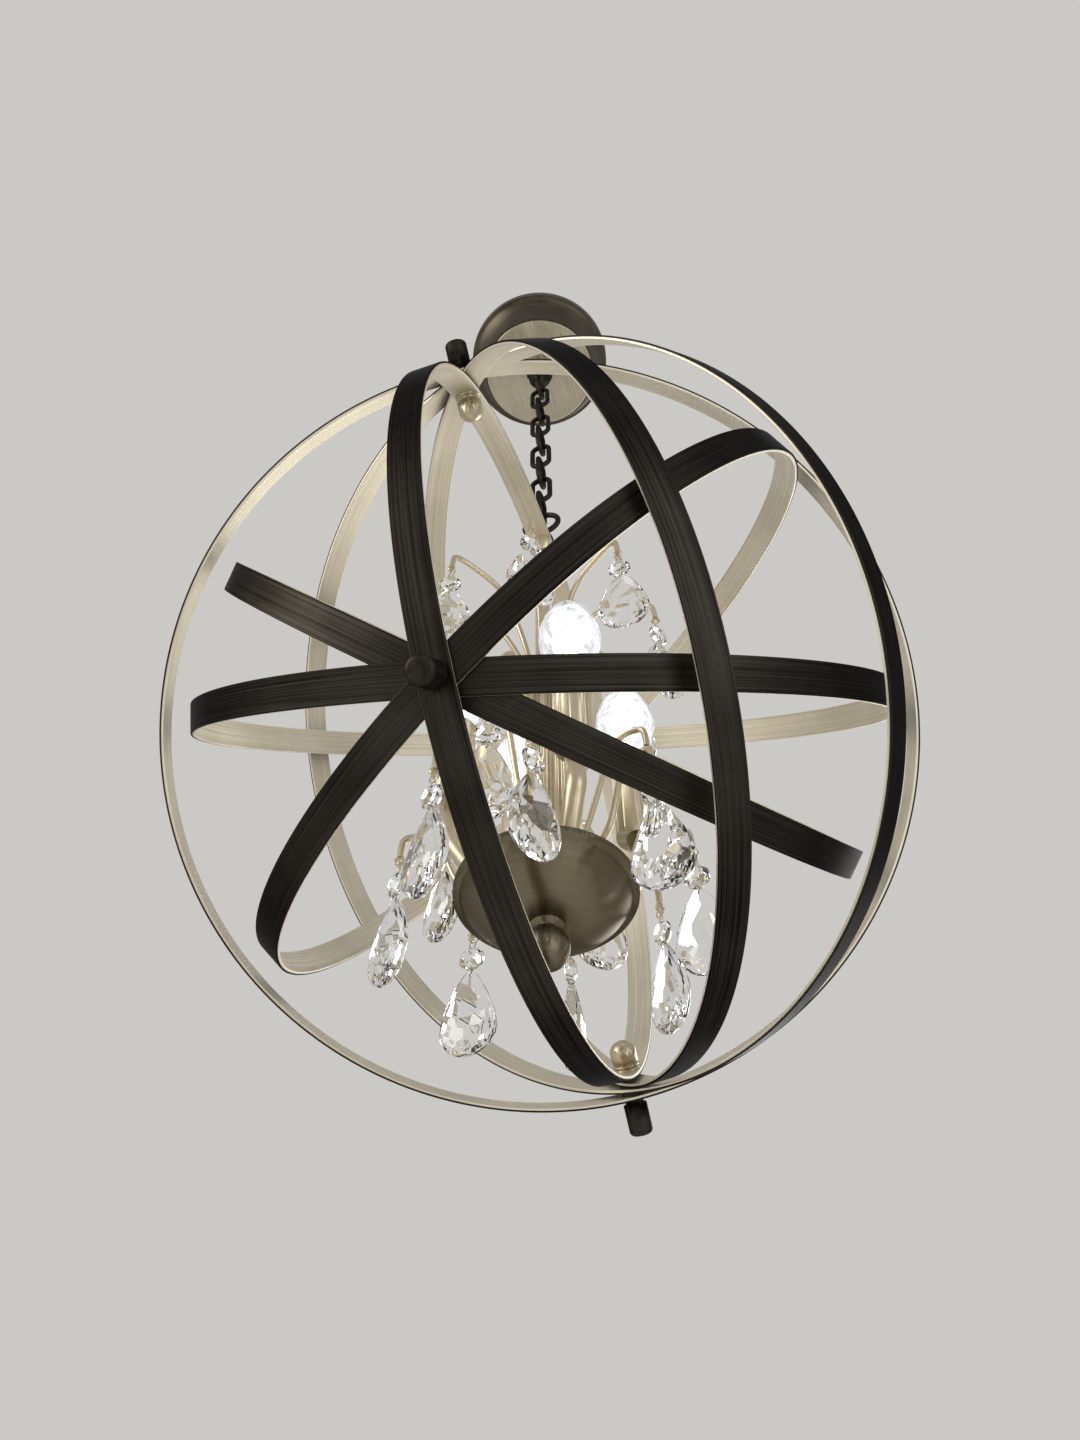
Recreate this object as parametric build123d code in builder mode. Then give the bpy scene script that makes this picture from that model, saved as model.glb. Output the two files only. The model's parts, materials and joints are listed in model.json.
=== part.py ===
from build123d import *
from math import asin, cos, degrees, radians, sin
import os

os.makedirs("parts", exist_ok=True)

# Orb chandelier: a ceiling canopy, a chain of oval links and an orb of seven flat-strap rings that turn
# on two crossed axes, with a four-light crystal fixture inside the orb.
# Millimetres. The origin is the centre of the canopy's face on the ceiling, +Z up.

# ---- driving dimensions -------------------------------------------------------------------------
# The orb
orb_z = -557.0
main_radius = 203.2
strap_width = 15.8
strap_thickness = 2.4
ring_step = 4.4
axis_tilt = 45.0
axle_radius = 2.5
axle_clearance = 0.1
washer_radius = 6.0
washer_thickness = 1.5

# Turn of each ring about its axis, in degrees from the main ring's plane
inner_turns = {"ring_inner_1": -58.2, "ring_inner_2": -101.75, "ring_inner_3": 51.0}
outer_turns = {"ring_outer_1": 31.4, "ring_outer_2": 60.8, "ring_outer_3": 105.3}

# The chain
wire_radius = 2.0
link_length = 38.1
link_width = 18.0
link_count = 8
link_gap = 0.3
canopy_loop_z = -80.0
orb_loop_radius = 12.75

# The ceiling end
canopy_radius = 64.0
canopy_depth = 32.0
cove_radius = 51.0
canopy_wall = 1.2
plate_radius = 49.5
plate_thickness = 2.0
nipple_radius = 4.8
nipple_bore = 3.2
crossbar_size = (104.0, 15.0, 2.0)
crossbar_spacing = 88.9
crossbar_slot = (12.0, 4.6)
collar_radius = 10.0
collar_height = 14.0

# The fixture: heights are from the orb's centre
stem_radius = 4.75
stem_bore = 3.2
hub_radius = 14.0
hub_top = -127.0
hub_bottom = -146.0
bowl_rim_radius = 45.0
bowl_rim_z = -134.5
bowl_floor_z = -156.0
stud_radius = 3.1
finial_radius = 11.0
candle_count = 4
candle_start = -55.0
candle_circle = 50.0
candle_tube_radius = 5.25
sleeve_radius = 10.5
sleeve_wall = 1.2
sleeve_bottom = -83.0
sleeve_top = -28.0
glass_radius = 17.5
glass_widest_z = 9.0
glass_top = 47.0
glass_wall = 0.9
cap_radius = 6.0

# The crystals: arm routes are (radius, height) in the arm's own upright plane
arm_radius = 1.5
arm_sides = 8
eye_radius = 3.0
eye_hole = 1.3
eye_thickness = 1.2
lower_hook = (74.0, -106.5)
middle_hook = (60.0, -62.0)
upper_hook = (72.0, 90.0)
# The arms of the lower tier are bent by hand, so they stand at slightly uneven turns
lower_azimuths = [-76.0, -29.0, 20.0, 54.0, 98.0, 140.0, 193.0, 243.0]
jump_ring_radius = 3.4
jump_ring_wire = 0.9
pin_width = 0.9
bead_size = 14.0
bead_thickness = 7.0
bead_z = -16.5
drop_top = -25.0
drop_length = 50.0
drop_thickness = 13.0
girdle = 2.4
table_scale = 0.55

# ---- places worked out from them ----------------------------------------------------------------
orb_centre = Vector(0, 0, orb_z)
main_axis = Vector(1, 0, 0)
outer_axis = Vector(0, -cos(radians(axis_tilt)), sin(radians(axis_tilt)))
inner_axis = Vector(0, -cos(radians(axis_tilt)), -sin(radians(axis_tilt)))
candle_azimuths = [candle_start + 360 / candle_count * i for i in range(candle_count)]
middle_azimuths = [a + 45 for a in candle_azimuths]
upper_azimuths = [candle_start + 22.5 + 45 * i for i in range(2 * candle_count)]


def finish(part, label):
    """Label a finished piece and write it."""
    part.label = label
    export_step(part, f"parts/{label}.step")


def radial_plane(azimuth, height=orb_z):
    """An upright plane through the vertical axis: local X is the radius, local Y the height."""
    a = radians(azimuth)
    return Plane(origin=(0, 0, height), x_dir=(cos(a), sin(a), 0), z_dir=(sin(a), -cos(a), 0))


def pole_plane(axis, distance):
    """The plane square to an axis of the orb, at a distance from the orb's centre."""
    return Plane(origin=orb_centre + axis * distance, x_dir=main_axis, z_dir=axis)


# ---- ceiling end --------------------------------------------------------------------------------
with BuildPart() as crossbar:
    with BuildSketch():
        SlotOverall(crossbar_size[0], crossbar_size[1])
        Circle(nipple_radius, mode=Mode.SUBTRACT)
        with Locations((-crossbar_spacing / 2, 0), (crossbar_spacing / 2, 0)):
            SlotOverall(*crossbar_slot, mode=Mode.SUBTRACT)
    extrude(amount=-crossbar_size[2])
finish(crossbar.part, "ceiling_crossbar")

collar_top = -canopy_depth - plate_thickness
collar_bottom = collar_top - collar_height
nipple_end = collar_bottom + 3.0
nipple_top_gap = 0.2

with BuildPart() as nipple:
    with BuildSketch(Plane.XY.offset(nipple_end)):
        Circle(nipple_radius)
        Circle(nipple_bore, mode=Mode.SUBTRACT)
    extrude(amount=-nipple_end - nipple_top_gap)
finish(nipple.part, "threaded_nipple")

lock_nut_height = 4.0
lock_nut_radius = 8.0
with BuildPart() as lock_nut:
    with BuildSketch(Plane.XY.offset(-crossbar_size[2])):
        RegularPolygon(lock_nut_radius, 6)
        Circle(nipple_radius, mode=Mode.SUBTRACT)
    extrude(amount=-lock_nut_height)
finish(lock_nut.part, "lock_nut")

# The canopy's section: an upright rim, a narrow flat step, a hollow cove and the flat face
step_z = -7.0
step_width = 2.6
cove_middle = (54.4, -17.8)
cove_middle_inside = (53.4, -17.0)
with BuildPart() as canopy:
    with BuildSketch(Plane.XZ):
        with BuildLine():
            Polyline((canopy_radius, 0), (canopy_radius, step_z), (canopy_radius - step_width, step_z))
            ThreePointArc(
                (canopy_radius - step_width, step_z), cove_middle, (cove_radius, -canopy_depth)
            )
            Polyline(
                (cove_radius, -canopy_depth),
                (nipple_radius, -canopy_depth),
                (nipple_radius, canopy_wall - canopy_depth),
                (cove_radius - canopy_wall, canopy_wall - canopy_depth),
            )
            ThreePointArc(
                (cove_radius - canopy_wall, canopy_wall - canopy_depth),
                cove_middle_inside,
                (canopy_radius - step_width - canopy_wall, step_z + canopy_wall),
            )
            Polyline(
                (canopy_radius - step_width - canopy_wall, step_z + canopy_wall),
                (canopy_radius - canopy_wall, step_z + canopy_wall),
                (canopy_radius - canopy_wall, 0),
                (canopy_radius, 0),
            )
        make_face()
    revolve(axis=Axis.Z)
finish(canopy.part, "canopy")

plate_edge = 0.8
with BuildPart() as canopy_plate:
    with BuildSketch(Plane.XY.offset(collar_top)):
        Circle(plate_radius)
        Circle(nipple_radius, mode=Mode.SUBTRACT)
    extrude(amount=plate_thickness)
    rims = canopy_plate.edges().filter_by(GeomType.CIRCLE).sort_by(SortBy.RADIUS)[-2:]
    fillet(rims.sort_by(Axis.Z)[0], plate_edge)
finish(canopy_plate.part, "canopy_plate")

# The collar is turned, with a fixed round loop under it that the chain hangs in
loop_radius = 8.0
collar_foot = 2.5
collar_flange = 2.0
collar_chamfer = 1.5
loop_neck_radius = 4.5
screw_z = collar_top - 8.0
screw_radius = 1.0
screw_head_radius = 1.7
screw_head = 1.2
screw_depth = 4.0
with BuildPart() as collar:
    with BuildSketch(Plane.XY.offset(collar_top)):
        Circle(collar_radius + collar_flange)
    extrude(amount=-collar_foot)
    with BuildSketch(Plane.XY.offset(collar_top - collar_foot)):
        Circle(collar_radius)
    extrude(amount=collar_foot - collar_height)
    chamfer(collar.faces().sort_by(Axis.Z)[0].edges(), collar_chamfer)
    with BuildSketch(Plane.XY.offset(collar_bottom)):
        Circle(loop_neck_radius)
    extrude(amount=canopy_loop_z + 2 * loop_radius - collar_bottom - wire_radius / 2)
    with BuildSketch(Plane(origin=(0, loop_radius, canopy_loop_z + loop_radius), z_dir=(0, 0, 1))):
        Circle(wire_radius)
    revolve(axis=Axis((0, 0, canopy_loop_z + loop_radius), (1, 0, 0)))
    with BuildSketch(Plane.XY.offset(collar_top)):
        Circle(nipple_radius)
    extrude(amount=nipple_end - collar_top, mode=Mode.SUBTRACT)
    with BuildSketch(Plane.YZ.offset(-collar_radius)):
        with Locations((0, screw_z)):
            Circle(screw_radius)
    extrude(amount=screw_depth, mode=Mode.SUBTRACT)
    with BuildSketch(Plane.YZ.offset(collar_radius)):
        with Locations((0, screw_z)):
            Circle(screw_radius)
    extrude(amount=-screw_depth, mode=Mode.SUBTRACT)
finish(collar.part, "canopy_collar_loop")

with BuildPart() as collar_screws:
    for side in (-1, 1):
        with BuildSketch(Plane(origin=(side * collar_radius, 0, screw_z), z_dir=(side, 0, 0))):
            Circle(screw_head_radius)
        extrude(amount=screw_head)
        with BuildSketch(Plane(origin=(side * collar_radius, 0, screw_z), z_dir=(side, 0, 0))):
            Circle(screw_radius)
        extrude(amount=-screw_depth)
finish(collar_screws.part, "collar_screws")

# ---- chain --------------------------------------------------------------------------------------
# Each link hangs in the one above, turned a quarter turn. The wires' centres pass one another
# at a wire's thickness and a small gap.
bend_radius = link_width / 2 - wire_radius
half_straight = link_length / 2 - wire_radius - bend_radius
wire_pitch = 2 * wire_radius + link_gap
link_pitch = link_length - 2 * wire_radius - wire_pitch

with BuildPart() as link:
    with BuildLine(Plane.XZ) as link_line:
        Line((bend_radius, -half_straight), (bend_radius, half_straight))
        CenterArc((0, half_straight), bend_radius, 0, 180)
        Line((-bend_radius, half_straight), (-bend_radius, -half_straight))
        CenterArc((0, -half_straight), bend_radius, 180, 180)
    with BuildSketch(Plane(origin=(bend_radius, 0, -half_straight), z_dir=(0, 0, 1))):
        Circle(wire_radius)
    sweep(path=link_line.wires()[0])

for i in range(link_count):
    lower_wire_z = canopy_loop_z - link_pitch * (i + 1)
    middle_z = lower_wire_z + half_straight + bend_radius
    with BuildPart() as placed_link:
        with Locations(Location((0, 0, middle_z), (0, 0, 90 * (i % 2)))):
            add(link.part)
    finish(placed_link.part, f"chain_link_{i + 1}")

# The orb's loop stands on a turned boss, with a threaded stud down through the main ring
last_wire_z = canopy_loop_z - link_pitch * link_count
orb_loop_z = last_wire_z + wire_pitch - orb_loop_radius
boss_foot = orb_z + main_radius
loop_stud_radius = 4.0
loop_stud_length = 9.0
boss_radius = 6.5
boss_flange = 2.0
boss_flange_height = 3.0
boss_top_radius = 3.5
with BuildPart() as orb_loop:
    with BuildSketch(Plane(origin=(orb_loop_radius, 0, orb_loop_z), z_dir=(0, 0, 1))):
        Circle(wire_radius)
    revolve(axis=Axis((0, 0, orb_loop_z), (0, 1, 0)))
    with BuildSketch(Plane.XY.offset(boss_foot)):
        Circle(boss_radius + boss_flange)
    extrude(amount=boss_flange_height)
    with BuildSketch(Plane.XY.offset(boss_foot + boss_flange_height)):
        Circle(boss_radius)
    with BuildSketch(Plane.XY.offset(orb_loop_z - orb_loop_radius)):
        Circle(boss_top_radius)
    loft()
    with BuildSketch(Plane.XY.offset(boss_foot)):
        Circle(loop_stud_radius)
    extrude(amount=-loop_stud_length)
finish(orb_loop.part, "orb_loop")


# ---- rings --------------------------------------------------------------------------------------
def strap_ring(label, radius, axis, turn, holes):
    """A flat strap rolled into a circle, turned about its axis from the main ring's plane.
    holes lists (direction, radius) of the bores through the strap, each at both poles or one."""
    side = main_axis.cross(axis)
    across = side * cos(radians(turn)) + main_axis * sin(radians(turn))
    normal = axis.cross(across)
    with BuildPart() as ring:
        with BuildSketch(Plane(origin=orb_centre, x_dir=axis, z_dir=normal)):
            Circle(radius)
            Circle(radius - strap_thickness, mode=Mode.SUBTRACT)
        extrude(amount=strap_width / 2, both=True)
        for direction, bore in holes:
            with BuildSketch(Plane(origin=orb_centre, x_dir=normal, z_dir=direction)):
                Circle(bore)
            extrude(amount=radius + strap_thickness, mode=Mode.SUBTRACT)
    finish(ring.part, label)


strap_ring(
    "ring_main",
    main_radius,
    outer_axis,
    0,
    [
        (outer_axis, axle_radius),
        (-outer_axis, axle_radius),
        (inner_axis, axle_radius),
        (-inner_axis, axle_radius),
        (Vector(0, 0, 1), loop_stud_radius),
    ],
)
running_bore = axle_radius + axle_clearance
for i, (label, turn) in enumerate(inner_turns.items()):
    radius = main_radius - ring_step * (i + 1)
    strap_ring(
        label, radius, inner_axis, turn, [(inner_axis, running_bore), (-inner_axis, running_bore)]
    )
for i, (label, turn) in enumerate(outer_turns.items()):
    radius = main_radius + ring_step * (i + 1)
    strap_ring(
        label, radius, outer_axis, turn, [(outer_axis, running_bore), (-outer_axis, running_bore)]
    )

# ---- axle hardware ------------------------------------------------------------------------------
# Both axes carry a bolt at each pole: a knob outside, a domed nut inside, washers between straps.
# The sizes along an axis are distances from the orb's centre.
nut_radius = 7.25
nut_collar_radius = 6.4
nut_collar = 5.0
nut_body = 6.0
nut_dome = 5.0
knob_radius = 6.5
knob_length = 19.0
knob_collar_radius = 5.0
knob_collar = 2.5
knob_round = 2.5
bolt_grip = 8.0
seat_sag = 0.2
turning_gap = 0.3
outermost = main_radius + ring_step * len(outer_turns)
innermost = main_radius - ring_step * len(inner_turns) - strap_thickness
outer_pole = {"nut": main_radius - strap_thickness - seat_sag, "knob": outermost + turning_gap}
inner_pole = {"nut": innermost - turning_gap, "knob": main_radius}
poles = [
    (outer_axis, outer_pole),
    (-outer_axis, outer_pole),
    (inner_axis, inner_pole),
    (-inner_axis, inner_pole),
]

with BuildPart() as axle_bolts:
    for axis, seats in poles:
        with BuildSketch(pole_plane(axis, seats["nut"] - bolt_grip)):
            Circle(axle_radius)
        extrude(amount=seats["knob"] - seats["nut"] + 2 * bolt_grip)
finish(axle_bolts.part, "axle_bolts")

with BuildPart() as spacer_washers:
    for axis in (outer_axis, -outer_axis, inner_axis, -inner_axis):
        is_outer = abs(axis.dot(outer_axis)) > 0.5
        for i in range(3):
            gap_start = main_radius + ring_step * i if is_outer else main_radius - ring_step * (i + 1)
            middle = gap_start + (ring_step - strap_thickness) / 2
            with BuildSketch(pole_plane(axis, middle - washer_thickness / 2)):
                Circle(washer_radius)
                Circle(axle_radius, mode=Mode.SUBTRACT)
            extrude(amount=washer_thickness)
finish(spacer_washers.part, "spacer_washers")

with BuildPart() as outer_knobs:
    for axis, seats in poles:
        with BuildSketch(pole_plane(axis, seats["knob"])):
            Circle(knob_collar_radius)
        extrude(amount=knob_collar)
        with BuildSketch(pole_plane(axis, seats["knob"] + knob_collar)):
            Circle(knob_radius)
        extrude(amount=knob_length - knob_collar)
        end = outer_knobs.faces().sort_by(Axis(orb_centre, axis))[-1]
        fillet(end.edges(), knob_round)
    for axis, seats in poles:
        with BuildSketch(pole_plane(axis, seats["knob"])):
            Circle(axle_radius)
        extrude(amount=bolt_grip, mode=Mode.SUBTRACT)
finish(outer_knobs.part, "outer_knobs")

# The domed nut's section: a ribbed collar at the strap, a plain barrel and a low dome
nut_top = nut_collar + nut_body + nut_dome
dome_radius = (nut_radius**2 + nut_dome**2) / (2 * nut_dome)
dome_angle = degrees(asin((dome_radius - nut_dome) / dome_radius))
rib_pitch = nut_collar / 5
nut_ribs = [(0, 0)]
for i in range(5):
    rib_radius = nut_collar_radius if i % 2 else nut_radius
    nut_ribs += [(rib_radius, rib_pitch * i), (rib_radius, rib_pitch * (i + 1))]
nut_ribs += [(nut_radius, nut_collar + nut_body)]
with BuildPart() as cap_nuts:
    for axis, seats in poles:
        nut_seat = orb_centre + axis * seats["nut"]
        with BuildSketch(Plane(origin=nut_seat, x_dir=main_axis, z_dir=axis.cross(main_axis))):
            with BuildLine():
                Polyline(*nut_ribs)
                CenterArc((0, nut_top - dome_radius), dome_radius, dome_angle, 90 - dome_angle)
                Line((0, nut_top), (0, 0))
            make_face()
        revolve(axis=Axis(orb_centre, axis))
        with BuildSketch(pole_plane(axis, seats["nut"])):
            Circle(axle_radius)
        extrude(amount=-bolt_grip, mode=Mode.SUBTRACT)
finish(cap_nuts.part, "cap_nuts")

# ---- stem, hub and bowl -------------------------------------------------------------------------
hub_socket = 10.0
coupling_radius = 8.0
coupling_height = 15.0
coupling_chamfer = 1.5
stem_top = main_radius - strap_thickness - loop_stud_length
with BuildPart() as stem:
    with BuildSketch(Plane.XY.offset(orb_z + hub_top - hub_socket)):
        Circle(stem_radius)
        Circle(stem_bore, mode=Mode.SUBTRACT)
    extrude(amount=stem_top - hub_top + hub_socket)
finish(stem.part, "centre_stem")

coupling_top = orb_z + main_radius - strap_thickness - seat_sag
with BuildPart() as coupling:
    with BuildSketch(Plane.XY.offset(coupling_top)):
        Circle(coupling_radius)
    extrude(amount=-coupling_height)
    chamfer(coupling.faces().sort_by(Axis.Z)[0].edges(), coupling_chamfer)
    with BuildSketch(Plane.XY.offset(coupling_top)):
        Circle(loop_stud_radius)
    extrude(amount=orb_z + stem_top - coupling_top, mode=Mode.SUBTRACT)
    with BuildSketch(Plane.XY.offset(orb_z + stem_top)):
        Circle(stem_radius)
    extrude(amount=-coupling_height, mode=Mode.SUBTRACT)
finish(coupling.part, "stem_coupling")

hub_chamfer = 2.0
boss_wall = 2.5
stud_depth = 6.0
with BuildPart() as hub:
    with BuildSketch(Plane.XY.offset(orb_z + hub_top)):
        Circle(hub_radius)
    extrude(amount=hub_bottom - hub_top)
    chamfer(hub.faces().sort_by(Axis.Z)[0].edges(), hub_chamfer)
    with BuildSketch(Plane.XY.offset(orb_z + hub_bottom)):
        Circle(stud_radius + boss_wall)
    extrude(amount=bowl_floor_z + canopy_wall - hub_bottom)
    with BuildSketch(Plane.XY.offset(orb_z + hub_top)):
        Circle(stem_radius)
    extrude(amount=-hub_socket, mode=Mode.SUBTRACT)
    with BuildSketch(Plane.XY.offset(orb_z + bowl_floor_z)):
        Circle(stud_radius)
    extrude(amount=hub_bottom - bowl_floor_z + stud_depth, mode=Mode.SUBTRACT)
finish(hub.part, "arm_hub")

# A shallow spun dish with a flat stepped rim
bowl_wall = 1.2
bowl_foot_radius = 9.0
rim_lip = 3.4
rim_ledge = 3.0
bowl_middle = (29.0, -151.2)
bowl_middle_inside = (28.4, -150.0)
with BuildPart() as bowl:
    with BuildSketch(radial_plane(0)):
        with BuildLine():
            Line((stud_radius, bowl_floor_z), (bowl_foot_radius, bowl_floor_z))
            ThreePointArc(
                (bowl_foot_radius, bowl_floor_z),
                bowl_middle,
                (bowl_rim_radius - rim_ledge, bowl_rim_z - rim_lip),
            )
            Polyline(
                (bowl_rim_radius - rim_ledge, bowl_rim_z - rim_lip),
                (bowl_rim_radius, bowl_rim_z - rim_lip),
                (bowl_rim_radius, bowl_rim_z),
                (bowl_rim_radius - bowl_wall, bowl_rim_z),
                (bowl_rim_radius - bowl_wall, bowl_rim_z - rim_lip + bowl_wall),
                (bowl_rim_radius - rim_ledge - 0.4, bowl_rim_z - rim_lip + bowl_wall),
            )
            ThreePointArc(
                (bowl_rim_radius - rim_ledge - 0.4, bowl_rim_z - rim_lip + bowl_wall),
                bowl_middle_inside,
                (bowl_foot_radius, bowl_floor_z + bowl_wall),
            )
            Polyline(
                (bowl_foot_radius, bowl_floor_z + bowl_wall),
                (stud_radius, bowl_floor_z + bowl_wall),
                (stud_radius, bowl_floor_z),
            )
        make_face()
    revolve(axis=Axis.Z)
finish(bowl.part, "bowl")

# The ball stands on a short turned neck with a flat seat against the bowl
seat_radius = bowl_foot_radius
seat_height = 1.6
neck_radius = 6.0
neck_height = 2.4
finial_z = bowl_floor_z - seat_height - neck_height - finial_radius + 2.0
with BuildPart() as finial:
    with BuildSketch(radial_plane(0)):
        with BuildLine():
            Line((0, finial_z - finial_radius), (0, finial_z + finial_radius))
            CenterArc((0, finial_z), finial_radius, -90, 180)
        make_face()
    revolve(axis=Axis.Z)
    with BuildSketch(Plane.XY.offset(orb_z + bowl_floor_z)):
        Circle(neck_radius)
    extrude(amount=finial_z - bowl_floor_z)
    with BuildSketch(Plane.XY.offset(orb_z + bowl_floor_z)):
        Circle(seat_radius)
    extrude(amount=-seat_height)
    with BuildSketch(Plane.XY.offset(orb_z + bowl_floor_z)):
        Circle(stud_radius)
    extrude(amount=hub_bottom - bowl_floor_z + stud_depth - 1)
finish(finial.part, "ball_finial")

# ---- candles ------------------------------------------------------------------------------------
# A bent tube rises from the hub to the flat foot of each sleeve
arm_start = 11.0
arm_low_z = -138.5
arm_rise = 1.5
arm_bend_radius = 15.0
candle_route = [
    (arm_start, arm_low_z),
    (31.0, arm_low_z + arm_rise),
    (candle_circle, -110.0),
    (candle_circle, sleeve_bottom),
]
with BuildPart() as candle_arm:
    with BuildLine(radial_plane(0)) as candle_line:
        FilletPolyline(*candle_route, radius=arm_bend_radius)
    with BuildSketch(Plane(origin=candle_line.line @ 0, z_dir=candle_line.line % 0)):
        Circle(candle_tube_radius)
    sweep()
    add(hub.part, mode=Mode.SUBTRACT)
    with BuildSketch(Plane.XY.offset(orb_z + hub_top)):
        Circle(hub_radius - 1)
    extrude(amount=hub_bottom - hub_top, mode=Mode.SUBTRACT)

sleeve_foot = 2.0
holder_radius = 8.0
holder_top = -31.0
cap_bottom = -53.0
cap_top = -30.0
with BuildPart() as sleeve:
    with BuildSketch(Plane.XY.offset(orb_z + sleeve_bottom)):
        Circle(sleeve_radius)
    extrude(amount=sleeve_top - sleeve_bottom)
    with BuildSketch(Plane.XY.offset(orb_z + sleeve_bottom + sleeve_foot)):
        Circle(sleeve_radius - sleeve_wall)
    extrude(amount=sleeve_top - sleeve_bottom, mode=Mode.SUBTRACT)

with BuildPart() as holder:
    with BuildSketch(Plane.XY.offset(orb_z + sleeve_bottom + sleeve_foot)):
        Circle(holder_radius)
    extrude(amount=holder_top - sleeve_bottom - sleeve_foot)
    with BuildSketch(Plane.XY.offset(orb_z + cap_bottom)):
        Circle(cap_radius)
    extrude(amount=holder_top - cap_bottom, mode=Mode.SUBTRACT)

with BuildPart() as lamp_cap:
    with BuildSketch(Plane.XY.offset(orb_z + cap_bottom)):
        Circle(cap_radius)
    extrude(amount=cap_top - cap_bottom)


def glass_outline(inset):
    """Half of the lamp's egg-shaped section, drawn in from the outside by inset."""
    neck = (cap_radius + 0.5 - inset, cap_top)
    widest = (glass_radius - inset, glass_widest_z)
    shoulder = (3.2 - inset, 43.0 - inset)
    tip = (0, glass_top - inset)
    ThreePointArc(neck, (14.2 - inset, -12.0), widest)
    ThreePointArc(widest, (13.2 - inset, 30.0 - inset * 0.5), shoulder)
    Polyline(shoulder, tip, (0, cap_top), neck)


with BuildPart() as lamp_glass:
    with BuildSketch(radial_plane(0)):
        with BuildLine():
            glass_outline(0)
        make_face()
        with BuildLine():
            glass_outline(glass_wall)
        make_face(mode=Mode.SUBTRACT)
    revolve(axis=Axis((0, 0, 0), (0, 0, 1)))

# A glass pillar carries four upright glowing sticks
stick_radius = 0.9
stick_circle = 3.2
stick_bottom = -12.0
stick_top = 20.0
pillar_radius = 4.5
with BuildPart() as filament:
    with BuildSketch(Plane.XY.offset(orb_z + cap_top)):
        Circle(pillar_radius)
    extrude(amount=stick_bottom - cap_top)
    with BuildSketch(Plane.XY.offset(orb_z + stick_bottom)):
        with PolarLocations(stick_circle, 4):
            RegularPolygon(stick_radius, 6)
    extrude(amount=stick_top - stick_bottom)


def on_candle(part, azimuth, radius=candle_circle):
    """Add a part that is drawn on the axis, at one candle's place."""
    a = radians(azimuth)
    with Locations(Location((radius * cos(a), radius * sin(a), 0), (0, 0, azimuth))):
        add(part)


for i, azimuth in enumerate(candle_azimuths):
    with BuildPart() as placed_arm:
        with Locations(Location((0, 0, 0), (0, 0, azimuth))):
            add(candle_arm.part)
    finish(placed_arm.part, f"candle_arm_{i + 1}")
    with BuildPart() as placed_sleeve:
        on_candle(sleeve.part, azimuth)
    finish(placed_sleeve.part, f"candle_sleeve_{i + 1}")
    with BuildPart() as placed_glass:
        on_candle(lamp_glass.part, azimuth)
    finish(placed_glass.part, f"lamp_glass_{i + 1}")

for single, label in ((holder, "lampholders"), (lamp_cap, "lamp_caps"), (filament, "lamp_filaments")):
    with BuildPart() as group:
        for azimuth in candle_azimuths:
            on_candle(single.part, azimuth)
    finish(group.part, label)

# ---- crystal arms -------------------------------------------------------------------------------
# Thin tubes curl over to a flattened eye. Each route ends above its eye's hole.
eye_reach = 2.2
lower_route = [
    (hub_radius - 3.0, -129.8),
    (44.0, -128.0),
    (54.0, -90.0),
    (lower_hook[0], -90.0),
    (lower_hook[0], lower_hook[1] + eye_reach),
]
middle_route = [
    (12.0, hub_top),
    (20.0, -112.0),
    (41.0, -43.0),
    (middle_hook[0], -43.0),
    (middle_hook[0], middle_hook[1] + eye_reach),
]
upper_route = [
    (9.0, hub_top),
    (9.0, 50.0),
    (32.0, 108.0),
    (upper_hook[0], 110.0),
    (upper_hook[0], upper_hook[1] + eye_reach),
]
crook_bend = 9.0
fountain_bend = 14.0


def crystal_arm(route, hook, bend):
    """One thin arm in the plane of azimuth 0, swept along its route, with the eye at its hook."""
    with BuildPart() as arm:
        with BuildLine(radial_plane(0)) as line:
            FilletPolyline(*route, radius=bend)
        with BuildSketch(Plane(origin=line.line @ 0, x_dir=(0, 1, 0), z_dir=line.line % 0)):
            RegularPolygon(arm_radius, arm_sides)
        sweep()
        with BuildSketch(radial_plane(0)):
            with Locations(hook):
                Circle(eye_radius)
        extrude(amount=eye_thickness / 2, both=True)
        with BuildSketch(radial_plane(0)):
            with Locations(hook):
                Circle(eye_hole)
        extrude(amount=arm_radius * 2, both=True, mode=Mode.SUBTRACT)
    return arm.part


lower_arm = crystal_arm(lower_route, lower_hook, crook_bend)
middle_arm = crystal_arm(middle_route, middle_hook, crook_bend)
upper_arm = crystal_arm(upper_route, upper_hook, fountain_bend)


def arm_group(label, arms, carriers=()):
    """Write a tier of arms, each turned to its azimuth and coped to the parts that carry it."""
    with BuildPart() as tier:
        for arm, azimuth in arms:
            with Locations(Location((0, 0, 0), (0, 0, azimuth))):
                add(arm)
        for carrier in carriers:
            add(carrier, mode=Mode.SUBTRACT)
    finish(tier.part, label)


arm_group("lower_crystal_arms", [(lower_arm, a) for a in lower_azimuths], [hub.part])
arm_group("middle_crystal_arms", [(middle_arm, a) for a in middle_azimuths], [hub.part])
arm_group("upper_crystal_arms", [(upper_arm, a) for a in upper_azimuths])

# ---- crystals -----------------------------------------------------------------------------------
# Each string hangs from its eye: a jump ring, an octagon bead, a pin and a faceted pear drop.
# Half widths down the drop's outline, from its top to its cut-off foot.
drop_outline = [(2.6, 0), (6.5, -9), (11.0, -21), (15.0, -36), (12.6, -45), (6.0, -drop_length)]


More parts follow.
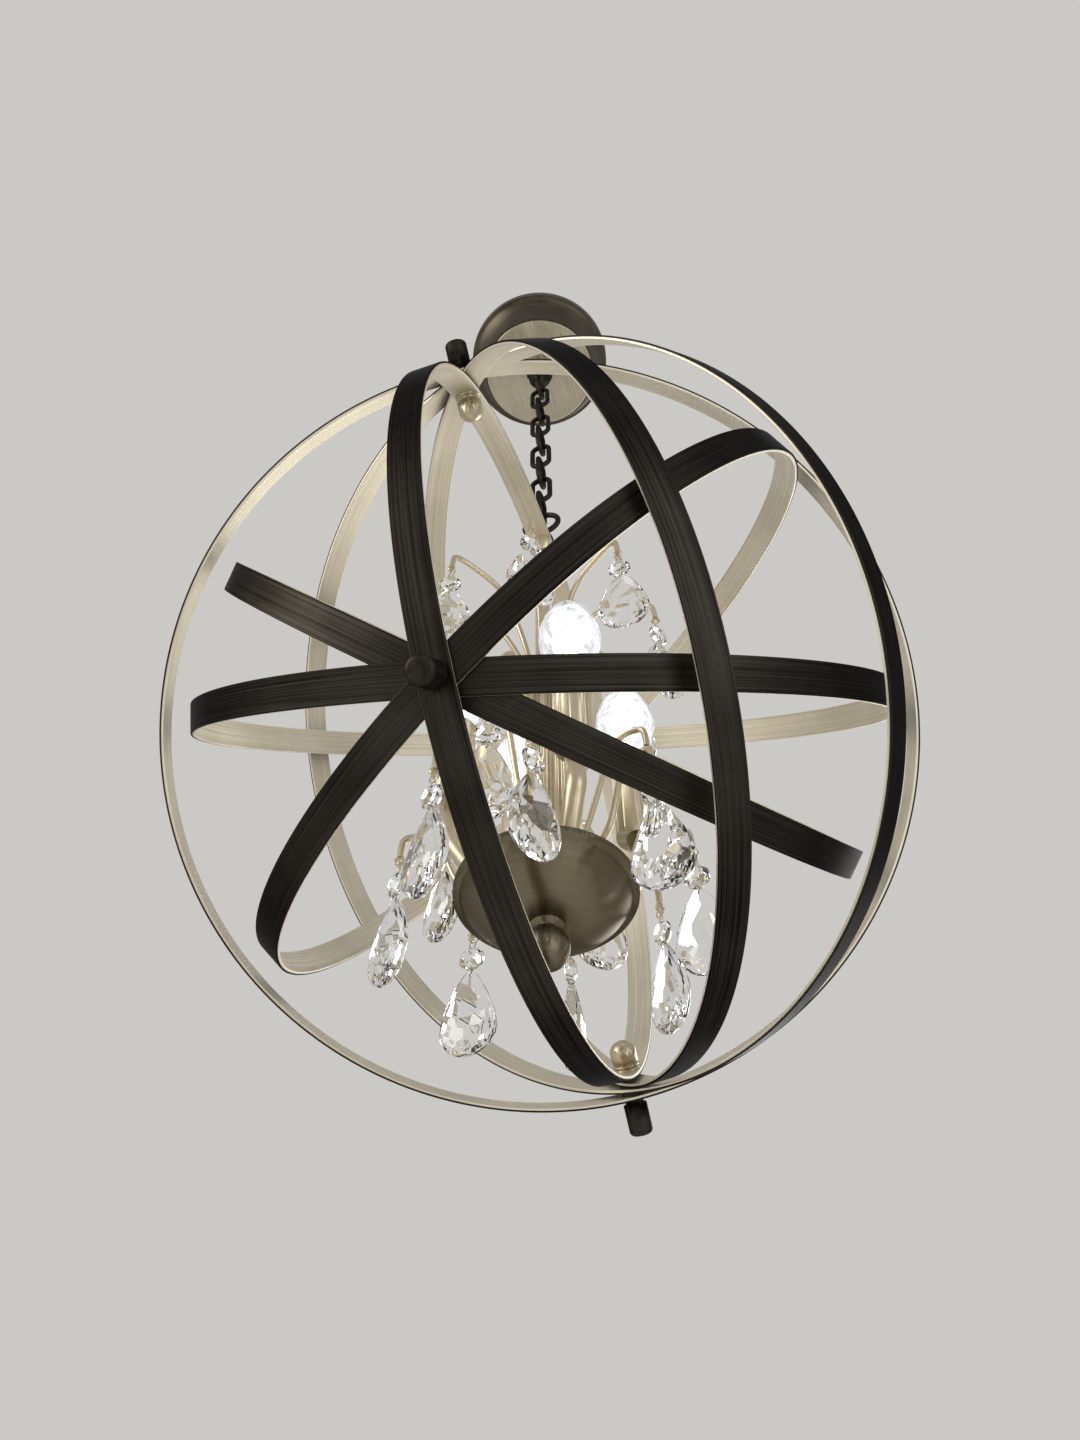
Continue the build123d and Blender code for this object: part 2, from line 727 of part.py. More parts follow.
def faceted(outline, thickness):
    """A cut crystal: a flat girdle, with sloped facets up to a smaller flat table on each face."""
    middle = sum(y for x, y in outline) / len(outline)
    half = girdle / 2
    with BuildPart(mode=Mode.PRIVATE) as crystal:
        with BuildSketch(Plane.XZ.offset(-half)):
            Polygon(*outline, align=None)
        extrude(amount=girdle)
        for side in (-1, 1):
            with BuildSketch(Plane.XZ.offset(side * half)):
                Polygon(*outline, align=None)
            with BuildSketch(Plane.XZ.offset(side * thickness / 2)):
                with Locations((0, middle * (1 - table_scale))):
                    Polygon(*[(x * table_scale, y * table_scale) for x, y in outline], align=None)
            loft(ruled=True)
    return crystal.part


bead_outline = [
    (bead_size / 2 * cos(radians(45 * i + 22.5)), bead_size / 2 * sin(radians(45 * i + 22.5)))
    for i in range(8)
]
pear_outline = drop_outline + [(-x, y) for x, y in reversed(drop_outline)]
bead = faceted([(x, y + bead_z) for x, y in bead_outline], bead_thickness)
drop = faceted([(x, y + drop_top) for x, y in pear_outline], drop_thickness)

with BuildPart() as string_body:
    add(bead)
    add(drop)
    ring_foot = jump_ring_wire / 2 - 2 * jump_ring_radius
    with BuildSketch(Plane.XY.offset(drop_top)):
        Rectangle(pin_width, pin_width)
    extrude(amount=ring_foot - drop_top)

with BuildPart() as jump_ring:
    with BuildSketch(Plane.YZ):
        with Locations((0, jump_ring_wire / 2 - jump_ring_radius * cos(radians(22.5)))):
            RegularPolygon(jump_ring_radius, 8, rotation=22.5)
            RegularPolygon(jump_ring_radius - jump_ring_wire, 8, rotation=22.5, mode=Mode.SUBTRACT)
    extrude(amount=jump_ring_wire / 2, both=True)


def add_string(hook, azimuth, turn):
    """Hang one string at a hook. The ring faces outward, and the cut pieces are turned below it."""
    a = radians(azimuth)
    place = (hook[0] * cos(a), hook[0] * sin(a), orb_z + hook[1])
    with Locations(Location(place, (0, 0, azimuth))):
        add(jump_ring.part)
    with Locations(Location(place, (0, 0, turn))):
        add(string_body.part)


# The turn of each crystal's face about its pin, in degrees
lower_turns = [67, 172, 175, 130, 107, 178, 138, 144]
middle_turns = [100, 40, 139, 20]
upper_turns = [0, 60, 25, 100, 140, 75, 15, 50]

for i, (azimuth, turn) in enumerate(zip(lower_azimuths, lower_turns)):
    with BuildPart() as pendant:
        add_string(lower_hook, azimuth, turn)
    finish(pendant.part, f"lower_pendant_{i + 1}")

for label, hook, azimuths, turns in (
    ("middle_pendants", middle_hook, middle_azimuths, middle_turns),
    ("upper_pendants", upper_hook, upper_azimuths, upper_turns),
):
    with BuildPart() as tier:
        for azimuth, turn in zip(azimuths, turns):
            add_string(hook, azimuth, turn)
    finish(tier.part, label)
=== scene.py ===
import json
import math

import bpy
from mathutils import Matrix, Vector


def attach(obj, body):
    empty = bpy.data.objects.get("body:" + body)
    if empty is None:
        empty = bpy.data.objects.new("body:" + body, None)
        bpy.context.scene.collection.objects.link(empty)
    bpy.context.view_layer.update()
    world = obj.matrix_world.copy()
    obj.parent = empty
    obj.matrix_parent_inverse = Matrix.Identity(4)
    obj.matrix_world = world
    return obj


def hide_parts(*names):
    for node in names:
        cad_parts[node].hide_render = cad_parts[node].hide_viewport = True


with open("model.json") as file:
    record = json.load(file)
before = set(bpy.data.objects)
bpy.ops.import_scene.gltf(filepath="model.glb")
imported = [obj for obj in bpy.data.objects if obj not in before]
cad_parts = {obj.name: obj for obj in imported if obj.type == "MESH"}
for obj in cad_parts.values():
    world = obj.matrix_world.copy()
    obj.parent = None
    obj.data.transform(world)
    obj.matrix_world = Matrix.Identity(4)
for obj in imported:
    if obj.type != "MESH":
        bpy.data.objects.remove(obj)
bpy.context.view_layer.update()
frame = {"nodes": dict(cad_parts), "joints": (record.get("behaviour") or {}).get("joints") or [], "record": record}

nodes = frame["nodes"]
joints = {joint["name"]: joint for joint in frame["joints"]}
mm = 0.001

orbCentre = Vector(joints["ring_inner_1_turn"]["pos_m"])
innerAxis = Vector(joints["ring_inner_1_turn"]["axis"])
outerAxis = Vector(joints["ring_outer_1_turn"]["axis"])
acrossAxis = Vector((1, 0, 0))      # square to the main ring's plane

scene = bpy.context.scene
scene.view_settings.view_transform = "Standard"

weldWithin = {"solid": 0.000002, "usual": 0.00001, "stone": 0.00004}
smoothAngle = {"strap": 15, "solid": 32, "lamp": 60, "arm": 40, "wire": 50}


def clearSelection():
    if bpy.context.object and bpy.context.object.mode != "OBJECT":
        bpy.ops.object.mode_set(mode="OBJECT")
    bpy.ops.object.select_all(action="DESELECT")


def pickOnly(obj):
    clearSelection()
    obj.select_set(True)
    bpy.context.view_layer.objects.active = obj


def applyModifiers(obj):
    pickOnly(obj)
    for modifier in list(obj.modifiers):
        bpy.ops.object.modifier_apply(modifier=modifier.name)


def tidyMesh(obj, distance=weldWithin["usual"], recalc=True):
    pickOnly(obj)
    bpy.ops.object.mode_set(mode="EDIT")
    bpy.ops.mesh.select_all(action="SELECT")
    bpy.ops.mesh.remove_doubles(threshold=distance)
    if recalc:
        bpy.ops.mesh.normals_make_consistent(inside=False)
    bpy.ops.object.mode_set(mode="OBJECT")


def smoothByAngle(obj, angle):
    pickOnly(obj)
    bpy.ops.object.shade_smooth_by_angle(angle=math.radians(angle))


def placeMesh(obj, matrix):
    obj.matrix_world = matrix
    bpy.context.view_layer.update()
    pickOnly(obj)
    bpy.ops.object.transform_apply(location=True, rotation=True, scale=True)


def joinPieces(pieces, name):
    clearSelection()
    for piece in pieces:
        piece.select_set(True)
    bpy.context.view_layer.objects.active = pieces[0]
    bpy.ops.object.join()
    joined = bpy.context.object
    joined.name = name
    clearSelection()
    return joined


def copyPiece(obj, name):
    twin = obj.copy()
    twin.data = obj.data.copy()
    twin.name = name
    scene.collection.objects.link(twin)
    return twin


def meshObject(name, verts, edges, faces):
    mesh = bpy.data.meshes.new(name)
    mesh.from_pydata(verts, edges, faces)
    obj = bpy.data.objects.new(name, mesh)
    scene.collection.objects.link(obj)
    return obj


def spinProfile(name, points, steps, closed=False):
    # a profile of (radius, height) points in millimetres, spun once round the upright axis
    verts = [(r * mm, 0, z * mm) for r, z in points]
    edges = [(i, i + 1) for i in range(len(verts) - 1)]
    if closed:
        edges.append((len(verts) - 1, 0))
    obj = meshObject(name, verts, edges, [])
    pickOnly(obj)
    bpy.ops.object.mode_set(mode="EDIT")
    bpy.ops.mesh.select_all(action="SELECT")
    bpy.ops.mesh.spin(steps=steps, angle=math.radians(360), center=(0, 0, 0), axis=(0, 0, 1))
    bpy.ops.object.mode_set(mode="OBJECT")
    tidyMesh(obj)
    return obj


def seat(obj, body, slotName, *replaced):
    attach(obj, body)
    if replaced:
        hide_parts(*replaced)


def turnAbout(azimuth):
    return Matrix.Rotation(math.radians(azimuth), 4, "Z")


def newMaterial(name):
    material = bpy.data.materials.new(name)
    material.use_nodes = True
    tree = material.node_tree
    tree.nodes.clear()
    output = tree.nodes.new("ShaderNodeOutputMaterial")
    shader = tree.nodes.new("ShaderNodeBsdfPrincipled")
    tree.links.new(shader.outputs["BSDF"], output.inputs["Surface"])
    return material, tree, shader


def node(tree, kind, **values):
    made = tree.nodes.new(kind)
    for key, value in values.items():
        if key in made.inputs:
            made.inputs[key].default_value = value
        else:
            setattr(made, key, value)
    return made


def noise(tree, vector, **values):
    made = node(tree, "ShaderNodeTexNoise", **values)
    tree.links.new(vector, made.inputs["Vector"])
    return made.outputs["Fac"]


def remap(tree, value, low, high, start, end):
    # low to high becomes start to end
    made = node(tree, "ShaderNodeMapRange")
    for key, number in (("From Min", low), ("From Max", high), ("To Min", start), ("To Max", end)):
        made.inputs[key].default_value = number
    tree.links.new(value, made.inputs["Value"])
    return made.outputs["Result"]


metalGrain = {
    "streaks": dict(Scale=1.0, Detail=5.0, Roughness=0.65),
    "clouds": dict(Scale=22.0, Detail=3.0, Roughness=0.5),
    "glossLow": 0.3,
    "glossHigh": 0.7,
    "reliefDepth": 0.4 * mm,
}


def metal(name, dark, light, roughness, stretch, source="Object", bump=0.05, patina=0.35,
          metallic=0.9, spread=0.12, reach=0.16, grazing=1.0, spun=0.0):
    # fine streaks stretched along one direction, over a slow patina; both steer the colour,
    # and the streaks alone steer the gloss and the relief
    material, tree, shader = newMaterial(name)
    link = tree.links.new
    coords = tree.nodes.new("ShaderNodeTexCoord")
    mapping = tree.nodes.new("ShaderNodeMapping")
    mapping.inputs["Scale"].default_value = stretch
    link(coords.outputs[source], mapping.inputs["Vector"])
    streaks = noise(tree, mapping.outputs["Vector"], **metalGrain["streaks"])
    clouds = noise(tree, coords.outputs["Object"], **metalGrain["clouds"])
    blend = node(tree, "ShaderNodeMix", data_type="FLOAT")
    blend.inputs[0].default_value = patina
    link(streaks, blend.inputs[2])
    link(clouds, blend.inputs[3])
    ramp = tree.nodes.new("ShaderNodeValToRGB")
    places = (0.5 - reach, 0.5 + reach)
    for end, place, colour in zip(ramp.color_ramp.elements, places, (dark, light)):
        end.position = place
        end.color = (*colour, 1)
    link(blend.outputs[0], ramp.inputs["Fac"])
    link(ramp.outputs["Color"], shader.inputs["Base Color"])
    gloss = remap(tree, streaks, metalGrain["glossLow"], metalGrain["glossHigh"],
                  roughness - spread, roughness + spread)
    link(gloss, shader.inputs["Roughness"])
    relief = node(tree, "ShaderNodeBump", Strength=bump, Distance=metalGrain["reliefDepth"])
    link(streaks, relief.inputs["Height"])
    link(relief.outputs["Normal"], shader.inputs["Normal"])
    shader.inputs["Metallic"].default_value = metallic
    shader.inputs["Specular Tint"].default_value = (grazing, grazing, grazing, 1)
    if spun:
        grain = node(tree, "ShaderNodeTangent", direction_type="UV_MAP", uv_map="spun")
        link(grain.outputs["Tangent"], shader.inputs["Tangent"])
        shader.inputs["Anisotropic"].default_value = spun
    return material


# dark and light are the ends of the colour, stretch is the streaks' scale along each axis,
# and a low grazing keeps a dark metal from turning grey where it is seen edge on
finishes = {
    "strapDark": dict(
        dark=(0.004, 0.0037, 0.0035), light=(0.055, 0.047, 0.037), roughness=0.40,
        stretch=(5, 1150, 1), source="UV", bump=0.0, patina=0.25, reach=0.15, spread=0.04,
        grazing=0.25),
    "strapPale": dict(
        dark=(0.50, 0.44, 0.32), light=(0.92, 0.86, 0.71), roughness=0.50,
        stretch=(5, 1150, 1), source="UV", bump=0.0, patina=0.25, reach=0.19, spread=0.04),
    "darkBronze": dict(
        dark=(0.012, 0.010, 0.008), light=(0.055, 0.045, 0.034), roughness=0.46,
        stretch=(260, 260, 260), bump=0.2, patina=0.5, metallic=0.85, grazing=0.4),
    "canopyBronze": dict(
        dark=(0.05, 0.04, 0.027), light=(0.12, 0.10, 0.068), roughness=0.40,
        stretch=(40, 40, 900), bump=0.06, patina=0.4),
    "plateBrushed": dict(
        dark=(0.34, 0.30, 0.21), light=(0.58, 0.53, 0.40), roughness=0.34,
        stretch=(900, 24, 24), bump=0.08, metallic=0.95),
    "bowlBronze": dict(
        dark=(0.12, 0.10, 0.062), light=(0.21, 0.18, 0.118), roughness=0.30,
        stretch=(2600, 0.4, 1), source="UV", bump=0.0, metallic=1.0, spread=0.03,
        grazing=0.6, spun=0.85),
    "champagne": dict(
        dark=(0.62, 0.53, 0.37), light=(0.76, 0.67, 0.49), roughness=0.36,
        stretch=(700, 700, 14), bump=0.0, patina=0.4, metallic=0.95, spread=0.02),
    "satinTube": dict(
        dark=(0.58, 0.49, 0.33), light=(0.76, 0.67, 0.48), roughness=0.32,
        stretch=(60, 60, 60), bump=0.0, patina=0.5, metallic=0.95, spread=0.03),
    "antiqueBrass": dict(
        dark=(0.40, 0.33, 0.21), light=(0.68, 0.59, 0.42), roughness=0.32,
        stretch=(500, 500, 40), bump=0.04, patina=0.4, metallic=0.95, spread=0.05),
    "brightWire": dict(
        dark=(0.62, 0.55, 0.42), light=(0.85, 0.80, 0.68), roughness=0.22,
        stretch=(400, 400, 400), bump=0.0, patina=0.5, metallic=1.0, spread=0.05),
    "zincSteel": dict(
        dark=(0.40, 0.39, 0.36), light=(0.68, 0.67, 0.64), roughness=0.36,
        stretch=(300, 300, 300), patina=0.5, metallic=0.95),
    "porcelain": dict(
        dark=(0.74, 0.71, 0.64), light=(0.86, 0.84, 0.78), roughness=0.40,
        stretch=(90, 90, 90), bump=0.02, patina=0.5, metallic=0.0),
}


glasses = {
    "crystal": dict(tint=(1.0, 1.0, 1.0), ior=1.56, smudge=0.01),
    "lampGlass": dict(tint=(0.90, 0.92, 0.97), ior=1.45, smudge=0.03),
    "smears": dict(Scale=60.0, Detail=2.0),
}


def glass(name):
    look = glasses[name]
    material, tree, shader = newMaterial(name)
    coords = tree.nodes.new("ShaderNodeTexCoord")
    smears = noise(tree, coords.outputs["Object"], **glasses["smears"])
    gloss = remap(tree, smears, 0.0, 1.0, 0.0, look["smudge"])
    tree.links.new(gloss, shader.inputs["Roughness"])
    shader.inputs["Base Color"].default_value = (*look["tint"], 1)
    shader.inputs["Transmission Weight"].default_value = 1.0
    shader.inputs["IOR"].default_value = look["ior"]
    return material, tree, shader


filamentGlow = {
    "colour": (1.0, 0.86, 0.66),
    "weakest": 3.2,
    "strongest": 4.8,
    "noise": dict(Scale=300.0, Detail=1.0),
}


def filamentMaterial(name):
    material, tree, shader = newMaterial(name)
    coords = tree.nodes.new("ShaderNodeTexCoord")
    uneven = noise(tree, coords.outputs["Object"], **filamentGlow["noise"])
    level = remap(tree, uneven, 0.0, 1.0, filamentGlow["weakest"], filamentGlow["strongest"])
    tree.links.new(level, shader.inputs["Emission Strength"])
    shader.inputs["Base Color"].default_value = (*filamentGlow["colour"], 1)
    shader.inputs["Emission Color"].default_value = (*filamentGlow["colour"], 1)
    material.cycles.emission_sampling = "NONE"      # a faint glow needs no light of its own
    return material


# facing and uneven are low, high, start and end for remap
lampGlow = {
    "colour": (0.92, 0.96, 1.0),
    "outline": 0.45,
    "facing": (0.1, 0.8, 0.30, 0.0),
    "mottle": dict(Scale=90.0, Detail=2.0, Distortion=1.2),
    "uneven": (0.35, 0.65, 0.15, 1.6),
}


def lampGlassMaterial(name):
    # full of light where it is seen square on, cooler and clearer towards its outline
    material, tree, shader = glass(name)
    link = tree.links.new
    facing = node(tree, "ShaderNodeLayerWeight", Blend=lampGlow["outline"])
    coords = tree.nodes.new("ShaderNodeTexCoord")
    mottle = noise(tree, coords.outputs["Object"], **lampGlow["mottle"])
    strength = node(tree, "ShaderNodeMath", operation="MULTIPLY")
    link(remap(tree, facing.outputs["Facing"], *lampGlow["facing"]), strength.inputs[0])
    link(remap(tree, mottle, *lampGlow["uneven"]), strength.inputs[1])
    link(strength.outputs["Value"], shader.inputs["Emission Strength"])
    shader.inputs["Emission Color"].default_value = (*lampGlow["colour"], 1)
    material.cycles.emission_sampling = "NONE"
    return material


paints = {name: metal(name, **look) for name, look in finishes.items()}
paints["crystal"] = glass("crystal")[0]
paints["filament"] = filamentMaterial("filament")
paints["lampGlass"] = lampGlassMaterial("lampGlass")
print("materials ready", len(paints))


def paint(obj, *names):
    obj.data.materials.clear()
    for name in names:
        obj.data.materials.append(paints[name])


# lengths in millimetres
strap = {
    "halfWidth": 7.9,
    "thickness": 2.4,
    "step": 4.4,
    "mainRadius": 203.2,
    "edgeBevel": 0.3,
    "cornerPoint": 0.3,     # of the bevel, how far in its middle point lies
    "darkPart": 1.1,        # the dark finish wraps this far over the edge
    "segments": 240,
    "flatFrom": 0.5,        # a face that looks outward or inward at least this much is a flat
}
# place in the nest, axle, turn about it in degrees, body
ringPlan = {
    "ring_main": (0, outerAxis, 0.0, "orb"),
    "ring_inner_1": (-1, innerAxis, -58.2, "ring_inner_1_body"),
    "ring_inner_2": (-2, innerAxis, -101.75, "ring_inner_2_body"),
    "ring_inner_3": (-3, innerAxis, 51.0, "ring_inner_3_body"),
    "ring_outer_1": (1, outerAxis, 31.4, "ring_outer_1_body"),
    "ring_outer_2": (2, outerAxis, 60.8, "ring_outer_2_body"),
    "ring_outer_3": (3, outerAxis, 105.3, "ring_outer_3_body"),
}


def strapProfile(radius):
    # the strap's cut end, with softened corners and a point where the two finishes meet
    high = strap["halfWidth"]
    soft = strap["edgeBevel"]
    corner = strap["cornerPoint"] * soft
    inner = radius - strap["thickness"]
    upper = [
        (radius, high - soft),
        (radius - corner, high - corner),
        (radius - soft, high),
        (radius - strap["darkPart"], high),
        (inner + soft, high),
        (inner + corner, high - corner),
        (inner, high - soft),
    ]
    return upper + [(r, -z) for r, z in reversed(upper)]


def finishStrap(obj, radius):
    # U runs along the strap and V across it, in metres; the outer side is dark, the inner pale
    mesh = obj.data
    layer = mesh.uv_layers.new(name="alongStrap")
    border = (radius - strap["darkPart"]) * mm
    for face in mesh.polygons:
        centre = face.center
        around = math.atan2(centre.y, centre.x)
        outward = Vector((math.cos(around), math.sin(around), 0)).dot(face.normal)
        isFlat = abs(outward) > strap["flatFrom"]
        face.material_index = 0 if math.hypot(centre.x, centre.y) > border else 1
        for loop in face.loop_indices:
            point = mesh.vertices[mesh.loops[loop].vertex_index].co
            angle = math.atan2(point.y, point.x)
            if angle - around > math.pi:
                angle -= 2 * math.pi
            if around - angle > math.pi:
                angle += 2 * math.pi
            across = point.z if isFlat else math.hypot(point.x, point.y)
            layer.data[loop].uv = (angle * radius * mm, across)


def makeStrap(name, index, axis, turn, body):
    radius = strap["mainRadius"] + strap["step"] * index
    ring = spinProfile(name + "_strap", strapProfile(radius), strap["segments"], closed=True)
    paint(ring, "strapDark", "strapPale")
    finishStrap(ring, radius)
    angle = math.radians(turn)
    across = acrossAxis.cross(axis) * math.cos(angle) + acrossAxis * math.sin(angle)
    normal = axis.cross(across)
    basis = Matrix((axis, normal.cross(axis), normal)).transposed().to_4x4()
    placeMesh(ring, Matrix.Translation(orbCentre) @ basis)
    smoothByAngle(ring, smoothAngle["strap"])
    seat(ring, body, "strap", name)


for name, plan in ringPlan.items():
    makeStrap(name, *plan)
print("straps done", len(ringPlan))


# each of these keeps its own solid's shape, welded and shaded smooth
linkCount = 8
candleCount = 4
turnedPieces = {
    "darkBronze": ["orb_loop", "outer_knobs", "spacer_washers", "canopy_collar_loop"]
    + [f"chain_link_{i + 1}" for i in range(linkCount)],
    "canopyBronze": ["canopy"],
    "plateBrushed": ["canopy_plate"],
    "bowlBronze": ["bowl", "ball_finial"],
    "champagne": ["centre_stem", "stem_coupling", "arm_hub"]
    + [f"candle_sleeve_{i + 1}" for i in range(candleCount)],
    "satinTube": [f"candle_arm_{i + 1}" for i in range(candleCount)],
    "antiqueBrass": ["cap_nuts"],
    "zincSteel": ["ceiling_crossbar", "threaded_nipple", "lock_nut", "collar_screws",
                  "axle_bolts", "lamp_caps"],
    "porcelain": ["lampholders"],
    "filament": ["lamp_filaments"],
}
slotOf = {part["node"]: part["material_slot"] for part in frame["record"]["subparts"]}
bodyOf = {member: body for body, members in frame["record"]["behaviour"]["bodies"].items()
          for member in members}
upwardShare = 0.7       # how much of a height counts as distance along a spun piece's wall


def ringUv(obj, centre):
    # U grows outward and upward from the centre, so that streaks run round a spun piece
    mesh = obj.data
    layer = mesh.uv_layers.new(name="spun")
    for loop in mesh.loops:
        point = mesh.vertices[loop.vertex_index].co - centre
        outward = math.hypot(point.x, point.y) + upwardShare * point.z
        layer.data[loop.index].uv = (outward, math.atan2(point.y, point.x))


def refine(name, finish):
    piece = copyPiece(nodes[name], name + "_piece")
    piece.parent = None
    for key in list(piece.keys()):
        del piece[key]
    tidyMesh(piece, weldWithin["solid"], recalc=False)
    smoothByAngle(piece, smoothAngle["solid"])
    paint(piece, finish)
    if finish == "bowlBronze":
        ringUv(piece, orbCentre)
    seat(piece, bodyOf[name], slotOf[name], name)


for finish, members in turnedPieces.items():
    for member in members:
        refine(member, finish)
print("turned and cast pieces done")


# the profile is in millimetres, up from the orb's centre
lamp = {
    "circle": 50.0 * mm,
    "start": -55.0,
    "profile": [(6.5, -30), (7.2, -26.5), (9.6, -20), (12.9, -11), (15.6, -2), (17.2, 5),
                (17.5, 10.5), (16.9, 17.5), (15.0, 25), (12.0, 32), (8.3, 38.2), (4.6, 42.8),
                (2.2, 45.3), (0.0, 46.8)],
    "wall": 0.7 * mm,
    "steps": 64,
}

glassMaster = spinProfile("lampGlassMaster", lamp["profile"], lamp["steps"])
wall = glassMaster.modifiers.new("wall", "SOLIDIFY")
wall.thickness = lamp["wall"]
wall.offset = -1
applyModifiers(glassMaster)
smoothByAngle(glassMaster, smoothAngle["lamp"])
paint(glassMaster, "lampGlass")
for i in range(candleCount):
    piece = copyPiece(glassMaster, f"lamp_glass_{i + 1}_envelope")
    turned = Matrix.Translation(orbCentre) @ turnAbout(lamp["start"] + 90 * i)
    placeMesh(piece, turned @ Matrix.Translation((lamp["circle"], 0, 0)))
    seat(piece, "orb", "lamp_glass", f"lamp_glass_{i + 1}")
bpy.data.objects.remove(glassMaster)
print("lamps done")


# hooks and routes are (radius, height) in millimetres, and turns are those of the hung strings
tiers = {
    "lower": dict(
        hook=(74.0, -106.5),
        azimuths=[-76, -29, 20, 54, 98, 140, 193, 243],
        turns=[67, 172, 175, 130, 107, 178, 138, 144],
        route=[(12, -129.8), (30, -129.3), (43, -127), (50, -108), (54, -92), (63, -89.5),
               (73.5, -90), (74.2, -98), (74, -104)],
    ),
    "middle": dict(
        hook=(60.0, -62.0),
        azimuths=[lamp["start"] + 45 + 90 * i for i in range(4)],
        turns=[100, 40, 139, 20],
        route=[(12, -127), (19, -114), (30, -82), (40, -48), (48, -42.5), (58.5, -43),
               (60.2, -51), (60, -59)],
    ),
    "upper": dict(
        hook=(72.0, 90.0),
        azimuths=[lamp["start"] + 22.5 + 45 * i for i in range(8)],
        turns=[0, 60, 25, 100, 140, 75, 15, 50],
        route=[(9, -127), (9, -60), (9, 0), (9, 42), (17, 72), (32, 106), (50, 110), (70, 110),
               (72.3, 101), (72, 93)],
    ),
}
armTube = {
    "radius": 1.7 * mm,
    "bevelSteps": 3,
    "routeSteps": 6,
    "order": 3,
}
armEye = {
    "radius": 3.0 * mm,
    "thickness": 1.3 * mm,
    "rim": 1.7 * mm,
    "bevel": 0.25 * mm,
    "bevelSteps": 2,
    "sides": 24,
}


def tube(name, route):
    # a smooth tube along (radius, height) points in the plane of azimuth 0
    curve = bpy.data.curves.new(name, "CURVE")
    curve.dimensions = "3D"
    curve.bevel_depth = armTube["radius"]
    curve.bevel_resolution = armTube["bevelSteps"]
    curve.use_fill_caps = True
    curve.resolution_u = armTube["routeSteps"]
    spline = curve.splines.new("NURBS")
    spline.points.add(len(route) - 1)
    for point, (r, z) in zip(spline.points, route):
        point.co = (r * mm, 0, z * mm, 1)
    spline.order_u = armTube["order"]
    spline.use_endpoint_u = True
    obj = bpy.data.objects.new(name, curve)
    scene.collection.objects.link(obj)
    pickOnly(obj)
    bpy.ops.object.convert(target="MESH")
    return bpy.context.object


def flattenedEye(name, hook):
    # the arm's end is pressed flat round a small hole
    clearSelection()
    bpy.ops.mesh.primitive_cylinder_add(
        vertices=armEye["sides"], radius=armEye["radius"], depth=armEye["thickness"],
        rotation=(math.radians(90), 0, 0), location=(hook[0] * mm, 0, hook[1] * mm))
    disc = bpy.context.object
    disc.name = name
    bpy.ops.object.mode_set(mode="EDIT")
    bpy.ops.mesh.select_mode(type="FACE")
    bpy.ops.mesh.select_all(action="DESELECT")
    bpy.ops.object.mode_set(mode="OBJECT")
    for face in disc.data.polygons:
        face.select = len(face.vertices) == armEye["sides"]
    bpy.ops.object.mode_set(mode="EDIT")
    bpy.ops.mesh.inset(thickness=armEye["rim"], depth=0)
    bpy.ops.mesh.bridge_edge_loops()
    bpy.ops.object.mode_set(mode="OBJECT")
    bpy.ops.object.transform_apply(location=True, rotation=True, scale=True)
    soften = disc.modifiers.new("soften", "BEVEL")
    soften.width = armEye["bevel"]
    soften.segments = armEye["bevelSteps"]
    applyModifiers(disc)
    return disc


def armTier(name, route, hook, azimuths, replaced):
    made = []
    for count, azimuth in enumerate(azimuths):
        arm = tube(f"{name}Tube{count}", route)
        disc = flattenedEye(f"{name}Eye{count}", hook)
        for piece in (arm, disc):
            placeMesh(piece, Matrix.Translation(orbCentre) @ turnAbout(azimuth))
            made.append(piece)
    tier = joinPieces(made, name)
    smoothByAngle(tier, smoothAngle["arm"])
    paint(tier, "satinTube")
    seat(tier, "orb", "champagne", replaced)


for tier, plan in tiers.items():
    armTier(f"{tier}_arms", plan["route"], plan["hook"], plan["azimuths"], f"{tier}_crystal_arms")
print("crystal arms done")


# a stone is sawn from a flat blank: every facet is one plane cut, given as
# (direction round the outline, tilt of the facet, height at which it meets the blank's edge)
dropSide = [(0, 0), (2.2, -0.4), (4.6, -4.2), (7.6, -10.2), (10.4, -17), (12.8, -24),
            (14.6, -31), (15.0, -36), (14.0, -41), (11.2, -45.6), (7.2, -48.7), (2.6, -50)]
dropCut = {
    "outline": dropSide + [(-x, z) for x, z in reversed(dropSide[1:])],
    "centre": (0, -34),
    "half": 6.4,
    "facets": [(-187.5 + 15 * i, 60, 1.0) for i in range(14)]
    + [(-165 + 30 * i, 38, 2.2) for i in range(6)]
    + [(22, 40, 2.0), (158, 40, 2.0), (33, 52, 1.2), (147, 52, 1.2)]
    + [(-180 + 30 * i, 21, 3.2) for i in range(7)]
    + [(30, 17, 2.6), (150, 17, 2.6)]
    + [(-165 + 30 * i, 11, 4.2) for i in range(6)]
    + [(90, 8, 1.8), (62, 13, 1.0), (118, 13, 1.0)],
}
beadRadius = 7.0
beadCorners = [45 * i + 22.5 for i in range(8)]
beadCut = {
    "outline": [(beadRadius * math.cos(math.radians(a)), beadRadius * math.sin(math.radians(a)))
                for a in beadCorners],
    "centre": (0, 0),
    "half": 3.5,
    "facets": [(a, 55, 0.6) for a in beadCorners] + [(45 * i, 36, 1.2) for i in range(8)]
    + [(a, 20, 2.2) for a in beadCorners],
}
flatWithin = 1.0        # degrees between faces that count as one facet
# places are measured down from the eye that a string hangs on, in millimetres
string = {
    "beadZ": -16.5,
    "dropTop": -25.0,
    "wire": 0.42 * mm,
    "around": 28,
    "across": 8,
    # radius, height against width, middle, turn about the upright
    "Ring": (3.0, 1.0, -2.6, 90),
    "PinTop": (1.5, 2.1, -7.6, 0),
    "PinLow": (1.6, 2.0, -25.0, 90),
}


